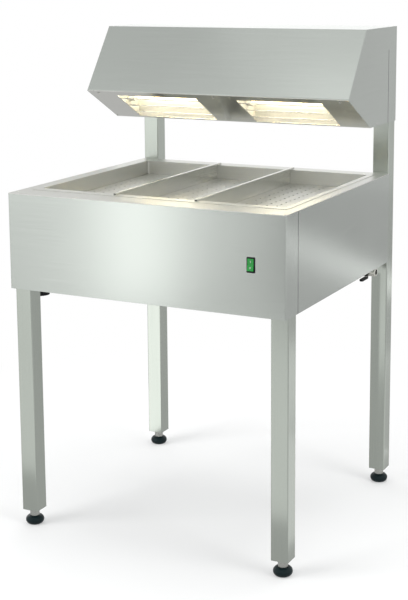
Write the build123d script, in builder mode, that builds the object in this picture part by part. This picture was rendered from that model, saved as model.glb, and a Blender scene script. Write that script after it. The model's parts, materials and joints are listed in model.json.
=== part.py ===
from build123d import *
import os
from math import cos, hypot, radians, sin

# A free-standing heated chip counter: a stainless cabinet with a drop-in basin on two
# front legs and two rear posts, and a lamp hood carried by the posts.
# Millimetres. Origin on the floor under the middle of the whole, +Z up, the user's
# side at -Y. "Depth" is measured back from the cabinet's front face.

# ---------------------------------------------------------------- sheet and sections
sheet = 1.5
bend_radius = 2.5
leg_size = 45.0
leg_wall = 2.0
leg_round = 2.5
contact_gap = 0.3
loose_gap = 0.5
fit_gap = 0.05
hex_sides = 6

# ---------------------------------------------------------------- cabinet
cabinet_width = 760.0
cabinet_depth = 695.0
cabinet_height = 245.0
counter_height = 885.0
front_return = 70.0
seam_gap = 0.5
panel_flange = 16.0
leg_setback = 19.0
vent_slots = 8
vent_pitch = 16.0
vent_length = 90.0
vent_width = 6.0
vent_depth = 250.0
leg_bottom = 41.0

# ---------------------------------------------------------------- basin
basin_side_margin = 42.0
basin_front_depth = 93.0
basin_rear_margin = 54.0
basin_depth = 80.0
basin_sheet = 1.2
basin_corner = 6.0
basin_cove = 5.0
basin_flange_side = 15.5
basin_flange_end = 27.0
basin_clearance = 1.0

# ---------------------------------------------------------------- drain plate, dividers
plate_drop = 37.0
plate_sheet = 1.5
plate_gap = 2.0
plate_skirt_sheet = 1.5
plate_foot_inset = 13.0
plate_lip = 12.0
plate_edge_round = 1.2
skirt_bays = 3
skirt_foot = 50.0
skirt_web = 12.0
compartments = 3
hole_diameter = 7.0
hole_pitch = 28.0
hole_margin = 22.0
divider_sheet = 1.5
divider_hem_width = 8.0
divider_hem_height = 5.0
divider_overlap = 19.0
divider_hem_sheet = 1.0

# ---------------------------------------------------------------- feet
pad_diameter = 47.6
pad_height = 22.0
pad_sole = 33.0
pad_bulge_height = 12.0
pad_top = 28.0
collar_diameter = 25.0
stem_diameter = 12.0
stem_rise = 42.0
stem_chamfer = 1.0
insert_height = 30.0

# ---------------------------------------------------------------- frame rails
rail_size = 25.0
rail_wall = 1.5
rail_bottom = 700.0

# ---------------------------------------------------------------- hood
hood_top = 1280.0
hood_bottom = 1025.0
hood_nose_height = 1110.0
hood_nose_depth = 385.0
hood_crest_depth = 508.0
hood_knee_depth = 544.0
hood_lip = 17.0
slit_width = 1.2
slit_from_post = 15.0
slit_top = 1220.0
lamp_block_depth = 640.0

# ---------------------------------------------------------------- lamp bays
bay_side = 79.5
bay_gap = 118.0
bay_front = 27.0
bay_rear = 8.3
rod_count = 3
rod_margin = 26.5
rod_diameter = 3.0
rod_seat = 3.0
reflector_sheet = 1.0
reflector_depth = 52.0
reflector_crown = 70.0
reflector_flange = 6.0
reflector_clearance = 4.5
reflector_lap = 1.0
reflector_bend = 2.0
lamp_diameter = 11.0
lamp_bore = 9.0
lamp_height = 30.0
filament_diameter = 3.0
socket_width = 20.0
socket_height = 22.0
socket_length = 16.0
socket_hole_depth = 8.0

# ---------------------------------------------------------------- switch
switch_inset = 88.0
switch_height = 762.5
bezel_width = 21.0
bezel_height = 37.0
bezel_proud = 2.0
bezel_round = 0.6
switch_body_width = 18.6
switch_body_height = 33.6
switch_body_depth = 28.0
cavity_width = 16.2
cavity_height = 31.6
cavity_depth = 14.0
rocker_width = 15.6
rocker_length = 29.0
rocker_proud = 5.0
rocker_tilt = 8.0
rocker_pivot_depth = 3.0
rocker_pin = 3.0
rocker_tail = 5.0
rocker_tail_width = 12.0
rocker_round = 1.2
tab_width = 6.3
tab_thickness = 0.8
tab_length = 8.0
tab_pitch = 11.2
tab_count = 3

# ---------------------------------------------------------------- thermostat
knob_inset = 27.0
knob_depth = 92.0
knob_diameter = 48.0
knob_height = 30.0
knob_clearance = 4.5
knob_grips = 24
knob_grip_diameter = 3.0
knob_face = 5.0
knob_mark_length = 16.0
knob_mark_inset = 4.0
spindle_diameter = 6.0
spindle_length = 30.0
bushing_diameter = 10.0
bushing_length = 3.0
thermostat_side = 34.0
thermostat_height = 30.0

# ---------------------------------------------------------------- drain tap
drain_inset_side = 22.0
drain_inset_rear = 20.0
drain_bore = 14.0
drain_pipe_diameter = 18.0
drain_flange = 30.0
drain_flange_thickness = 3.0
tap_drop = 14.0
tap_diameter = 24.0
tap_length = 58.0
tap_outlet_bore = 15.0
tap_chamfer = 1.5
tap_hex_length = 18.0
tap_socket_rise = 6.0
handle_offset = 30.0
handle_length = 36.0
handle_width = 11.0
handle_thickness = 5.0
handle_stem = 6.0
handle_drop = 3.0
ball_diameter = 17.0
ball_bore = 10.0

# ---------------------------------------------------------------- heater and wiring
spreader_thickness = 3.0
spreader_margin = 40.0
element_diameter = 8.5
element_bend = 18.0
element_inset = 60.0
element_rows = 4
element_tail = 32.0
clamp_width = 20.0
clamp_thickness = 2.0
clamp_post = 8.0
clamp_pitch = 155.0
clamp_columns = 3
cutout_diameter = 16.0
cutout_height = 9.0
block_length = 60.0
block_width = 22.0
block_height = 24.0
block_ways = 5
block_well = 6.0
block_well_depth = 5.0
block_depth = 630.0
gland_inset = 100.0
gland_height = 680.0
gland_bore = 10.0
gland_thread = 20.0
gland_hex = 27.0
gland_length = 22.0
gland_nut_thickness = 5.0
gland_thread_in = 9.0
gland_taper = 8.0

# ---------------------------------------------------------------- fasteners
screw_diameter = 5.0
screw_head = 8.0
screw_head_height = 1.6
screw_length = 8.0
bolt_diameter = 6.0
bolt_head = 12.0
bolt_head_height = 3.0
bolt_length = 12.0
side_screw_depth = 591.0
side_screw_rise = 6.5
side_tab_length = 110.0
side_tab_height = 13.0
underside_screw_inset = 26.5
base_screw_inset = 80.0
hood_bolt_inset = 65.0
rear_bolt_inset = 35.0

# ---------------------------------------------------------------- derived places
half_width = cabinet_width / 2
inner_x = half_width - sheet
basin_width = cabinet_width - 2 * basin_side_margin
basin_length = cabinet_depth - basin_front_depth - basin_rear_margin
switch_x = half_width - switch_inset
knob_x = -(half_width - knob_inset)
gland_x = -(half_width - gland_inset)
underside_screw_x = inner_x - underside_screw_inset
bay_width = inner_x - bay_gap / 2 - bay_side
cabinet_bottom = counter_height - cabinet_height
rim_underside = counter_height - sheet
base_underside = cabinet_bottom + sheet
base_top = base_underside + sheet
post_front_depth = cabinet_depth
post_back_depth = post_front_depth + leg_size
hood_back_depth = post_back_depth + sheet
rocker_end = rocker_proud + rocker_pivot_depth
rocker_reach = (
    rocker_end * cos(radians(rocker_tilt))
    + rocker_length / 2 * sin(radians(rocker_tilt))
    - rocker_pivot_depth
)
front_y = -(hood_back_depth + bolt_head_height - rocker_reach) / 2
leg_x = inner_x - leg_size / 2
front_leg_depth = leg_setback + leg_size / 2
post_depth = post_front_depth + leg_size / 2
leg_inner = leg_size - 2 * leg_wall

basin_centre_depth = basin_front_depth + basin_length / 2
basin_floor = counter_height - basin_depth
basin_underside = basin_floor - basin_sheet
flange_top = counter_height + basin_sheet
plate_top = counter_height - plate_drop
plate_width = basin_width - 2 * plate_gap
plate_length = basin_length - 2 * plate_gap
compartment_pitch = basin_width / compartments

slope_run = hood_knee_depth - hood_nose_depth
slope_fall = hood_nose_height - hood_bottom
slope_length = hypot(slope_run, slope_fall)
slope_y = slope_run / slope_length
slope_z = -slope_fall / slope_length
front_run = hood_crest_depth - hood_nose_depth
front_rise = hood_top - hood_nose_height
front_length = hypot(front_run, front_rise)
bay_x = (bay_gap + bay_width) / 2
bay_length = slope_length - bay_front - bay_rear
bay_centre = bay_front + bay_length / 2
rod_pitch = (bay_length - 2 * rod_margin) / (rod_count - 1)
drain_x = basin_width / 2 - drain_inset_side
drain_depth = basin_front_depth + basin_length - drain_inset_rear
tap_height = cabinet_bottom - tap_drop
tap_end = drain_x + tap_length
handle_x = drain_x + handle_offset
tap_socket_floor = tap_height + tap_socket_rise


def y_at(depth):
    """World Y of a place that lies this far behind the cabinet's front face."""
    return front_y + depth


def save(builder, name):
    """Label a finished sub-part and write its STEP file."""
    builder.part.label = name
    export_step(builder.part, f"parts/{name}.step")


def floor_plane(x, depth, height):
    """A level plane whose origin lies at this place."""
    return Plane.XY.offset(height).move(Location((x, y_at(depth), 0)))


def front_facing(x, depth, height):
    """An upright plane that faces the user; its own X runs along +X and its Y up."""
    return Plane(origin=(x, y_at(depth), height), x_dir=(1, 0, 0), z_dir=(0, -1, 0))


def side_facing(x):
    """An upright plane across the width: its own X is world Y and its Y is up."""
    return Plane(origin=(x, front_y, 0), x_dir=(0, 1, 0), z_dir=(1, 0, 0))


# The hood's underside slopes back and down from the nose to the knee.
slope_section = Plane(
    origin=(0, y_at(hood_nose_depth), hood_nose_height),
    x_dir=(0, slope_y, slope_z),
    z_dir=(1, 0, 0),
)
slope_face = Plane(
    origin=(0, y_at(hood_nose_depth), hood_nose_height),
    x_dir=(1, 0, 0),
    z_dir=(0, -slope_z, slope_y),
)

os.makedirs("parts", exist_ok=True)
sides = (("left", -1), ("right", 1))

# ================================================================ legs, posts and feet
hood_bolt_heights = (hood_bottom + hood_bolt_inset, hood_top - hood_bolt_inset)
rear_bolt_heights = (cabinet_bottom + rear_bolt_inset, counter_height - rear_bolt_inset)


def box_section(size, wall, rounding):
    """Draw a rounded square tube's section into the open sketch."""
    RectangleRounded(size, size, rounding)
    Rectangle(size - 2 * wall, size - 2 * wall, mode=Mode.SUBTRACT)


for side, sign in sides:
    with BuildPart() as front_leg:
        with BuildSketch(floor_plane(sign * leg_x, front_leg_depth, leg_bottom)):
            box_section(leg_size, leg_wall, leg_round)
        extrude(amount=rim_underside - leg_bottom)
    save(front_leg, f"front_leg_{side}")

    with BuildPart() as rear_post:
        with BuildSketch(floor_plane(sign * leg_x, post_depth, leg_bottom)):
            box_section(leg_size, leg_wall, leg_round)
        extrude(amount=hood_top - sheet - leg_bottom)
        for height in rear_bolt_heights:
            with BuildSketch(front_facing(sign * leg_x, post_front_depth + leg_wall, height)):
                Circle(bolt_diameter / 2 + fit_gap)
            extrude(amount=leg_wall, mode=Mode.SUBTRACT)
        for height in hood_bolt_heights:
            with BuildSketch(front_facing(sign * leg_x, post_back_depth, height)):
                Circle(bolt_diameter / 2 + fit_gap)
            extrude(amount=leg_wall, mode=Mode.SUBTRACT)
    save(rear_post, f"rear_post_{side}")

foot_places = {
    "front_left": (-leg_x, front_leg_depth),
    "front_right": (leg_x, front_leg_depth),
    "rear_left": (-leg_x, post_depth),
    "rear_right": (leg_x, post_depth),
}

with BuildPart() as leg_inserts:
    for foot_x, foot_depth in foot_places.values():
        with BuildSketch(floor_plane(foot_x, foot_depth, leg_bottom)):
            Rectangle(leg_inner, leg_inner)
            Circle(stem_diameter / 2 + fit_gap, mode=Mode.SUBTRACT)
        extrude(amount=insert_height)
save(leg_inserts, "leg_inserts")

for place, (foot_x, foot_depth) in foot_places.items():
    foot_section = Plane(origin=(foot_x, y_at(foot_depth), 0), x_dir=(1, 0, 0), z_dir=(0, -1, 0))
    foot_axis = Axis((foot_x, y_at(foot_depth), 0), (0, 0, 1))
    with BuildPart() as foot_stem:
        with BuildSketch(floor_plane(foot_x, foot_depth, pad_height)):
            Circle(collar_diameter / 2)
        extrude(amount=leg_bottom - pad_height)
        chamfer(foot_stem.edges().group_by(Axis.Z)[0], stem_chamfer)
        with BuildSketch(floor_plane(foot_x, foot_depth, leg_bottom)):
            Circle(stem_diameter / 2)
        extrude(amount=stem_rise)
        chamfer(foot_stem.edges().group_by(Axis.Z)[-1], stem_chamfer)
    save(foot_stem, f"foot_stem_{place}")

    with BuildPart() as foot_pad:
        with BuildSketch(foot_section):
            with BuildLine():
                Line((0, 0), (pad_sole / 2, 0))
                ThreePointArc(
                    (pad_sole / 2, 0),
                    (pad_diameter / 2, pad_bulge_height),
                    (pad_top / 2, pad_height),
                )
                Line((pad_top / 2, pad_height), (0, pad_height))
                Line((0, pad_height), (0, 0))
            make_face()
        revolve(axis=foot_axis)
    save(foot_pad, f"foot_pad_{place}")

# ================================================================ frame rails
rail_front = leg_setback + leg_size
for side, sign in sides:
    with BuildPart() as side_rail:
        rail_plane = front_facing(sign * (inner_x - rail_size / 2), rail_front, rail_bottom + rail_size / 2)
        with BuildSketch(rail_plane):
            box_section(rail_size, rail_wall, rail_wall)
        extrude(amount=-(cabinet_depth - sheet - rail_front))
    save(side_rail, f"side_rail_{side}")

with BuildPart() as front_rail:
    with BuildSketch(side_facing(-(inner_x - leg_size))):
        with Locations((front_leg_depth, rail_bottom + rail_size / 2)):
            box_section(rail_size, rail_wall, rail_wall)
    extrude(amount=2 * (inner_x - leg_size))
save(front_rail, "front_rail")

# ================================================================ cabinet panels
base_screw_depths = (front_return + base_screw_inset, cabinet_depth / 2, cabinet_depth - base_screw_inset)
base_screw_x = inner_x - panel_flange / 2
panel_rise = rim_underside - cabinet_bottom

with BuildPart() as front_panel:
    with BuildSketch(floor_plane(0, 0, cabinet_bottom)):
        with BuildLine():
            FilletPolyline(
                (-half_width, front_return),
                (-half_width, 0),
                (half_width, 0),
                (half_width, front_return),
                radius=bend_radius,
            )
            offset(amount=sheet, side=Side.LEFT)
        make_face()
    extrude(amount=panel_rise)
    with BuildSketch(floor_plane(0, sheet + panel_flange / 2, cabinet_bottom)):
        Rectangle(2 * inner_x, panel_flange)
    extrude(amount=sheet)
    with BuildSketch(front_facing(switch_x, sheet, switch_height)):
        Rectangle(switch_body_width + loose_gap, switch_body_height + loose_gap)
    extrude(amount=sheet, mode=Mode.SUBTRACT)
save(front_panel, "front_panel")

side_panel_length = cabinet_depth - front_return - seam_gap
side_panel_middle = front_return + seam_gap + side_panel_length / 2
side_flange_length = side_panel_length - sheet
for side, sign in sides:
    with BuildPart() as side_panel:
        with BuildSketch(floor_plane(sign * (half_width - sheet / 2), side_panel_middle, cabinet_bottom)):
            Rectangle(sheet, side_panel_length)
        extrude(amount=panel_rise)
        with BuildSketch(floor_plane(
                sign * (inner_x - panel_flange / 2), side_panel_middle - sheet / 2, cabinet_bottom)):
            Rectangle(panel_flange, side_flange_length)
        extrude(amount=sheet)
        for depth in base_screw_depths:
            with BuildSketch(floor_plane(sign * base_screw_x, depth, cabinet_bottom)):
                Circle(screw_diameter / 2 + fit_gap)
            extrude(amount=sheet, mode=Mode.SUBTRACT)
    save(side_panel, f"side_panel_{side}")

with BuildPart() as rear_panel:
    with BuildSketch(floor_plane(0, cabinet_depth - sheet / 2, cabinet_bottom)):
        Rectangle(2 * inner_x, sheet)
    extrude(amount=panel_rise)
    with BuildSketch(floor_plane(0, cabinet_depth - sheet - panel_flange / 2, cabinet_bottom)):
        Rectangle(2 * (inner_x - panel_flange - loose_gap), panel_flange)
    extrude(amount=sheet)
    for height in rear_bolt_heights:
        with BuildSketch(front_facing(0, cabinet_depth, height)):
            with Locations((-leg_x, 0), (leg_x, 0)):
                Circle(bolt_diameter / 2 + fit_gap)
        extrude(amount=sheet, mode=Mode.SUBTRACT)
    with BuildSketch(front_facing(gland_x, cabinet_depth, gland_height)):
        Circle(gland_thread / 2 + fit_gap)
    extrude(amount=sheet, mode=Mode.SUBTRACT)
save(rear_panel, "rear_panel")

base_length = cabinet_depth - 2 * sheet
base_middle = cabinet_depth / 2
with BuildPart() as base_panel:
    with BuildSketch(floor_plane(0, base_middle, base_underside)):
        Rectangle(2 * inner_x, base_length)
        with Locations(
            (-leg_x, front_leg_depth - base_middle),
            (leg_x, front_leg_depth - base_middle),
        ):
            Rectangle(leg_size + 2 * loose_gap, leg_size + 2 * loose_gap, mode=Mode.SUBTRACT)
        with Locations((knob_x, knob_depth - base_middle)):
            Circle(bushing_diameter / 2 + contact_gap, mode=Mode.SUBTRACT)
        with Locations((drain_x, drain_depth - base_middle)):
            Circle(drain_pipe_diameter / 2 + loose_gap, mode=Mode.SUBTRACT)
        with Locations((0, vent_depth - base_middle)):
            with GridLocations(0, vent_pitch, 1, vent_slots):
                SlotOverall(vent_length, vent_width, mode=Mode.SUBTRACT)
    extrude(amount=sheet)
    for depth in base_screw_depths:
        with BuildSketch(floor_plane(0, depth, base_underside)):
            with Locations((-base_screw_x, 0), (base_screw_x, 0)):
                Circle(screw_diameter / 2 + fit_gap)
        extrude(amount=sheet, mode=Mode.SUBTRACT)
    fillet(base_panel.edges().filter_by(Axis.Z).group_by(Axis.Y)[0], bend_radius)
save(base_panel, "base_panel")

with BuildPart() as top_rim:
    with BuildSketch(floor_plane(0, cabinet_depth / 2, rim_underside)):
        Rectangle(cabinet_width, cabinet_depth)
        with Locations((0, basin_centre_depth - cabinet_depth / 2)):
            RectangleRounded(
                basin_width + 2 * (basin_sheet + basin_clearance),
                basin_length + 2 * (basin_sheet + basin_clearance),
                basin_corner,
                mode=Mode.SUBTRACT,
            )
    extrude(amount=sheet)
    fillet(top_rim.edges().filter_by(Axis.Z).group_by(Axis.Y)[0], bend_radius)
save(top_rim, "top_rim")

# ================================================================ basin
with BuildPart() as basin:
    with BuildSketch(floor_plane(0, basin_centre_depth, counter_height)):
        RectangleRounded(
            basin_width + 2 * basin_sheet,
            basin_length + 2 * basin_sheet,
            basin_corner + basin_sheet,
        )
    extrude(amount=-(basin_depth + basin_sheet))
    fillet(basin.faces().sort_by(Axis.Z)[0].edges(), basin_cove + basin_sheet)
    offset(amount=-basin_sheet, openings=basin.faces().sort_by(Axis.Z)[-1])
    with BuildSketch(floor_plane(0, basin_centre_depth, counter_height)):
        RectangleRounded(
            basin_width + 2 * basin_flange_side,
            basin_length + 2 * basin_flange_end,
            basin_corner,
        )
        RectangleRounded(basin_width, basin_length, basin_corner, mode=Mode.SUBTRACT)
    extrude(amount=basin_sheet)
    with BuildSketch(floor_plane(drain_x, drain_depth, basin_floor)):
        Circle(drain_bore / 2)
    extrude(amount=-basin_sheet, mode=Mode.SUBTRACT)
save(basin, "basin")

# ================================================================ drain plate and dividers
holes_across = int((compartment_pitch - 2 * hole_margin) / hole_pitch) + 1
holes_along = int((plate_length - 2 * hole_margin) / hole_pitch) + 1
skirt_height = plate_top - plate_sheet - basin_floor
skirt_spread = plate_width - 2 * plate_foot_inset
skirt_length = plate_length - 2 * plate_foot_inset
with BuildPart() as drain_plate:
    with BuildSketch(floor_plane(0, basin_centre_depth, plate_top)):
        RectangleRounded(plate_width, plate_length, basin_corner)
    extrude(amount=-plate_lip)
    fillet(drain_plate.faces().sort_by(Axis.Z)[-1].edges(), plate_edge_round)
    with BuildSketch(floor_plane(0, basin_centre_depth, plate_top - plate_sheet)):
        RectangleRounded(
            plate_width - 2 * plate_sheet,
            plate_length - 2 * plate_sheet,
            basin_corner - plate_sheet,
        )
    extrude(amount=-(plate_lip - plate_sheet), mode=Mode.SUBTRACT)
    with BuildSketch(floor_plane(0, basin_centre_depth, plate_top)):
        with GridLocations(compartment_pitch, 0, compartments, 1):
            with GridLocations(hole_pitch, hole_pitch, holes_across, holes_along):
                Circle(hole_diameter / 2)
    extrude(amount=-plate_sheet, mode=Mode.SUBTRACT)
    with BuildSketch(floor_plane(0, basin_centre_depth, plate_top - plate_sheet)):
        with GridLocations(skirt_spread / skirt_bays, 0, skirt_bays + 1, 1):
            Rectangle(plate_skirt_sheet, skirt_length)
    extrude(amount=-skirt_height)
    with BuildSketch(floor_plane(0, basin_centre_depth, basin_floor)):
        Rectangle(plate_width, skirt_length - 2 * skirt_foot)
    extrude(amount=skirt_height - skirt_web, mode=Mode.SUBTRACT)
save(drain_plate, "drain_plate")

web_height = flange_top - plate_top - contact_gap
for side, sign in sides:
    divider_x = sign * compartment_pitch / 2
    with BuildPart() as divider:
        with BuildSketch(front_facing(divider_x, basin_centre_depth, plate_top + contact_gap)):
            with Locations((0, web_height / 2)):
                Rectangle(divider_sheet, web_height)
        extrude(amount=basin_length / 2 - basin_clearance, both=True)
        with BuildSketch(front_facing(divider_x, basin_centre_depth, flange_top + divider_hem_height / 2)):
            Rectangle(divider_hem_width, divider_hem_height)
            Rectangle(
                divider_hem_width - 2 * divider_hem_sheet,
                divider_hem_height - 2 * divider_hem_sheet,
                mode=Mode.SUBTRACT,
            )
        extrude(amount=basin_length / 2 + divider_overlap, both=True)
    save(divider, f"divider_{side}")

# ================================================================ basin heater
spreader_underside = basin_underside - spreader_thickness
element_height = spreader_underside - contact_gap - element_diameter / 2
row_x = (basin_width - 2 * spreader_margin) / 2 - element_inset / 2
row_front = basin_front_depth + spreader_margin + element_inset
row_back = basin_front_depth + basin_length - spreader_margin - element_inset / 2
row_step = (row_back - row_front) / (element_rows - 1)
return_x = row_x - element_inset / 2

with BuildPart() as heat_spreader:
    with BuildSketch(floor_plane(0, basin_centre_depth, basin_underside)):
        Rectangle(basin_width - 2 * spreader_margin, basin_length - 2 * spreader_margin)
    extrude(amount=-spreader_thickness)
save(heat_spreader, "heat_spreader")

with BuildPart() as basin_element:
    with BuildLine(floor_plane(0, 0, element_height)) as element_path:
        FilletPolyline(
            (-element_tail, row_front - element_inset),
            (-element_tail, row_front),
            (-return_x, row_front),
            (-return_x, row_front + row_step),
            (return_x, row_front + row_step),
            (return_x, row_front + 2 * row_step),
            (-return_x, row_front + 2 * row_step),
            (-return_x, row_back),
            (row_x, row_back),
            (row_x, row_front),
            (element_tail, row_front),
            (element_tail, row_front - element_inset),
            radius=element_bend,
        )
    with BuildSketch(Plane(origin=element_path.line @ 0, z_dir=element_path.line % 0)):
        Circle(element_diameter / 2)
    sweep(path=element_path.line)
save(basin_element, "basin_element")

clamp_top = element_height - element_diameter / 2 - contact_gap
clamp_centre = (row_front + row_back) / 2
clamp_span = row_back - row_front - row_step
with BuildPart() as element_clamps:
    with BuildSketch(floor_plane(0, clamp_centre, clamp_top)):
        with GridLocations(clamp_pitch, 0, clamp_columns, 1):
            Rectangle(clamp_width, clamp_span + 2 * clamp_width)
    extrude(amount=-clamp_thickness)
    with BuildSketch(floor_plane(0, clamp_centre, clamp_top)):
        with GridLocations(clamp_pitch, clamp_span, clamp_columns, 2):
            Circle(clamp_post / 2)
    extrude(amount=spreader_underside - clamp_top)
save(element_clamps, "element_clamps")

with BuildPart() as overheat_cutout:
    with BuildSketch(floor_plane(clamp_pitch / 2, clamp_centre, spreader_underside)):
        Circle(cutout_diameter / 2)
    extrude(amount=-cutout_height)
    with BuildSketch(floor_plane(clamp_pitch / 2, clamp_centre, spreader_underside)):
        SlotOverall(cutout_diameter * 2, cutout_height)
    extrude(amount=-sheet)
save(overheat_cutout, "overheat_cutout")


def terminal_block(plane):
    """A ceramic block that stands on this plane, with a screw well over each way."""
    with BuildPart() as block:
        with BuildSketch(plane):
            Rectangle(block_length, block_width)
        extrude(amount=block_height)
        with BuildSketch(plane.offset(block_height)):
            with GridLocations(block_length / block_ways, block_width / 2, block_ways, 2):
                Circle(block_well / 2)
        extrude(amount=-block_well_depth, mode=Mode.SUBTRACT)
    return block


save(terminal_block(floor_plane(gland_x, block_depth, base_top)), "mains_terminals")

# ================================================================ mains gland
gland_axis = front_facing(gland_x, cabinet_depth, gland_height)
with BuildPart() as cable_gland:
    with BuildSketch(gland_axis):
        RegularPolygon(gland_hex / 2, hex_sides, major_radius=False)
    extrude(amount=-gland_length / 2)
    with BuildSketch(gland_axis.offset(-gland_length / 2)):
        Circle(gland_thread / 2 + sheet)
    extrude(amount=-gland_length / 2, taper=gland_taper)
    with BuildSketch(gland_axis):
        Circle(gland_thread / 2)
    extrude(amount=gland_thread_in)
    with BuildSketch(gland_axis.offset(gland_thread_in)):
        Circle(gland_bore / 2)
    extrude(amount=-(gland_thread_in + gland_length), mode=Mode.SUBTRACT)
save(cable_gland, "cable_gland")

with BuildPart() as gland_nut:
    with BuildSketch(gland_axis.offset(sheet)):
        RegularPolygon(gland_hex / 2, hex_sides, major_radius=False)
        Circle(gland_thread / 2 + fit_gap, mode=Mode.SUBTRACT)
    extrude(amount=gland_nut_thickness)
save(gland_nut, "gland_nut")

# ================================================================ power switch
with BuildPart() as switch_body:
    with BuildSketch(front_facing(switch_x, 0, switch_height)):
        RectangleRounded(bezel_width, bezel_height, bezel_proud)
    extrude(amount=bezel_proud)
    fillet(switch_body.faces().sort_by(Axis.Y)[0].edges(), bezel_round)
    with BuildSketch(front_facing(switch_x, 0, switch_height)):
        Rectangle(switch_body_width, switch_body_height)
    extrude(amount=-switch_body_depth)
    with BuildSketch(front_facing(switch_x, -bezel_proud, switch_height)):
        Rectangle(cavity_width, cavity_height)
    extrude(amount=-(cavity_depth + bezel_proud), mode=Mode.SUBTRACT)
    with BuildSketch(side_facing(switch_x)):
        with Locations((rocker_pivot_depth, switch_height)):
            Circle(rocker_pin / 2 + fit_gap)
    extrude(amount=switch_body_width / 2, both=True, mode=Mode.SUBTRACT)
    with BuildSketch(front_facing(switch_x, switch_body_depth, switch_height)):
        with GridLocations(0, tab_pitch, 1, tab_count):
            Rectangle(tab_width, tab_thickness)
    extrude(amount=-tab_length)
save(switch_body, "switch_body")

tilt_sin = sin(radians(rocker_tilt))
tilt_cos = cos(radians(rocker_tilt))
rocker_section = Plane(
    origin=(switch_x, y_at(rocker_pivot_depth), switch_height),
    x_dir=(0, -tilt_cos, tilt_sin),
    z_dir=(-1, 0, 0),
)
rocker_valley = rocker_end - rocker_length / 2 * tilt_sin / tilt_cos
with BuildPart() as switch_rocker:
    with BuildSketch(rocker_section):
        with BuildLine():
            Polyline(
                (rocker_valley, 0),
                (rocker_end, rocker_length / 2),
                (0, rocker_length / 2),
                (-rocker_tail, rocker_tail_width / 2),
                (-rocker_tail, -rocker_tail_width / 2),
                (0, -rocker_length / 2),
                (rocker_end, -rocker_length / 2),
                close=True,
            )
        make_face()
    extrude(amount=rocker_width / 2, both=True)
    fillet(switch_rocker.edges().filter_by(Axis.X).sort_by(Axis.Y)[:2], rocker_round)
    with BuildSketch(rocker_section):
        Circle(rocker_pin / 2)
    extrude(amount=switch_body_width / 2 - contact_gap, both=True)
save(switch_rocker, "switch_rocker")

# ================================================================ thermostat
with BuildPart() as thermostat:
    with BuildSketch(floor_plane(knob_x, knob_depth, base_top)):
        Rectangle(thermostat_side, thermostat_side)
    extrude(amount=thermostat_height)
    with BuildSketch(floor_plane(knob_x, knob_depth, base_top)):
        Circle(bushing_diameter / 2)
    extrude(amount=-(sheet + bushing_length))
    with BuildSketch(floor_plane(knob_x, knob_depth, base_underside - bushing_length)):
        Circle(spindle_diameter / 2 + fit_gap)
    extrude(amount=spindle_length, mode=Mode.SUBTRACT)
save(thermostat, "thermostat")

knob_top = base_underside - knob_clearance
knob_bottom = knob_top - knob_height
spindle_bottom = knob_bottom + knob_face
with BuildPart() as thermostat_spindle:
    with BuildSketch(floor_plane(knob_x, knob_depth, spindle_bottom)):
        Circle(spindle_diameter / 2)
    extrude(amount=base_underside - bushing_length + spindle_length - loose_gap - spindle_bottom)
save(thermostat_spindle, "thermostat_spindle")

with BuildPart() as thermostat_knob:
    with BuildSketch(floor_plane(knob_x, knob_depth, knob_bottom)):
        Circle(knob_diameter / 2)
        with PolarLocations(knob_diameter / 2, knob_grips):
            Circle(knob_grip_diameter / 2, mode=Mode.SUBTRACT)
    extrude(amount=knob_height)
    with BuildSketch(floor_plane(knob_x, knob_depth, knob_bottom)):
        with Locations((0, (knob_diameter - knob_mark_length) / 2 - knob_mark_inset)):
            Rectangle(sheet, knob_mark_length)
    extrude(amount=sheet / 2, mode=Mode.SUBTRACT)
    with BuildSketch(floor_plane(knob_x, knob_depth, knob_top)):
        Circle(spindle_diameter / 2)
    extrude(amount=-(knob_height - knob_face), mode=Mode.SUBTRACT)
save(thermostat_knob, "thermostat_knob")

# ================================================================ drain tap
boss_top = base_underside - loose_gap * 2
with BuildPart() as drain_pipe:
    with BuildSketch(floor_plane(drain_x, drain_depth, basin_underside)):
        Circle(drain_flange / 2)
    extrude(amount=-drain_flange_thickness)
    with BuildSketch(floor_plane(drain_x, drain_depth, basin_underside)):
        Circle(drain_pipe_diameter / 2)
    extrude(amount=tap_socket_floor - basin_underside)
    with BuildSketch(floor_plane(drain_x, drain_depth, basin_underside)):
        Circle(drain_bore / 2)
    extrude(amount=tap_socket_floor - basin_underside, mode=Mode.SUBTRACT)
save(drain_pipe, "drain_pipe")

tap_cross = Plane(origin=(drain_x, y_at(drain_depth), tap_height), x_dir=(0, 1, 0), z_dir=(1, 0, 0))
with BuildPart() as drain_tap:
    with BuildSketch(tap_cross.offset(-tap_diameter / 2)):
        Circle(tap_diameter / 2)
    extrude(amount=tap_end - drain_x + tap_diameter / 2)
    chamfer(drain_tap.edges().group_by(Axis.X)[-1], tap_chamfer)
    with BuildSketch(tap_cross.offset(handle_x - drain_x - tap_hex_length / 2)):
        RegularPolygon(tap_diameter / 2, hex_sides, major_radius=False)
    extrude(amount=tap_hex_length)
    with BuildSketch(floor_plane(drain_x, drain_depth, tap_height)):
        Circle(tap_diameter / 2)
    extrude(amount=boss_top - tap_height)
    with BuildSketch(floor_plane(drain_x, drain_depth, boss_top)):
        Circle(drain_pipe_diameter / 2)
    extrude(amount=tap_socket_floor - boss_top, mode=Mode.SUBTRACT)
    with BuildSketch(floor_plane(drain_x, drain_depth, boss_top)):
        Circle(drain_bore / 2)
    extrude(amount=tap_height - boss_top, mode=Mode.SUBTRACT)
    with BuildSketch(tap_cross):
        Circle(tap_outlet_bore / 2)
    extrude(amount=tap_end - drain_x, mode=Mode.SUBTRACT)
    with BuildSketch(tap_cross.offset(handle_x - drain_x - ball_diameter / 2)):
        Circle(ball_diameter / 2 + contact_gap)
    extrude(amount=ball_diameter, mode=Mode.SUBTRACT)
    with BuildSketch(floor_plane(handle_x, drain_depth, tap_height)):
        Circle(handle_stem / 2 + fit_gap)
    extrude(amount=-tap_diameter, mode=Mode.SUBTRACT)
save(drain_tap, "drain_tap")

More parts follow.
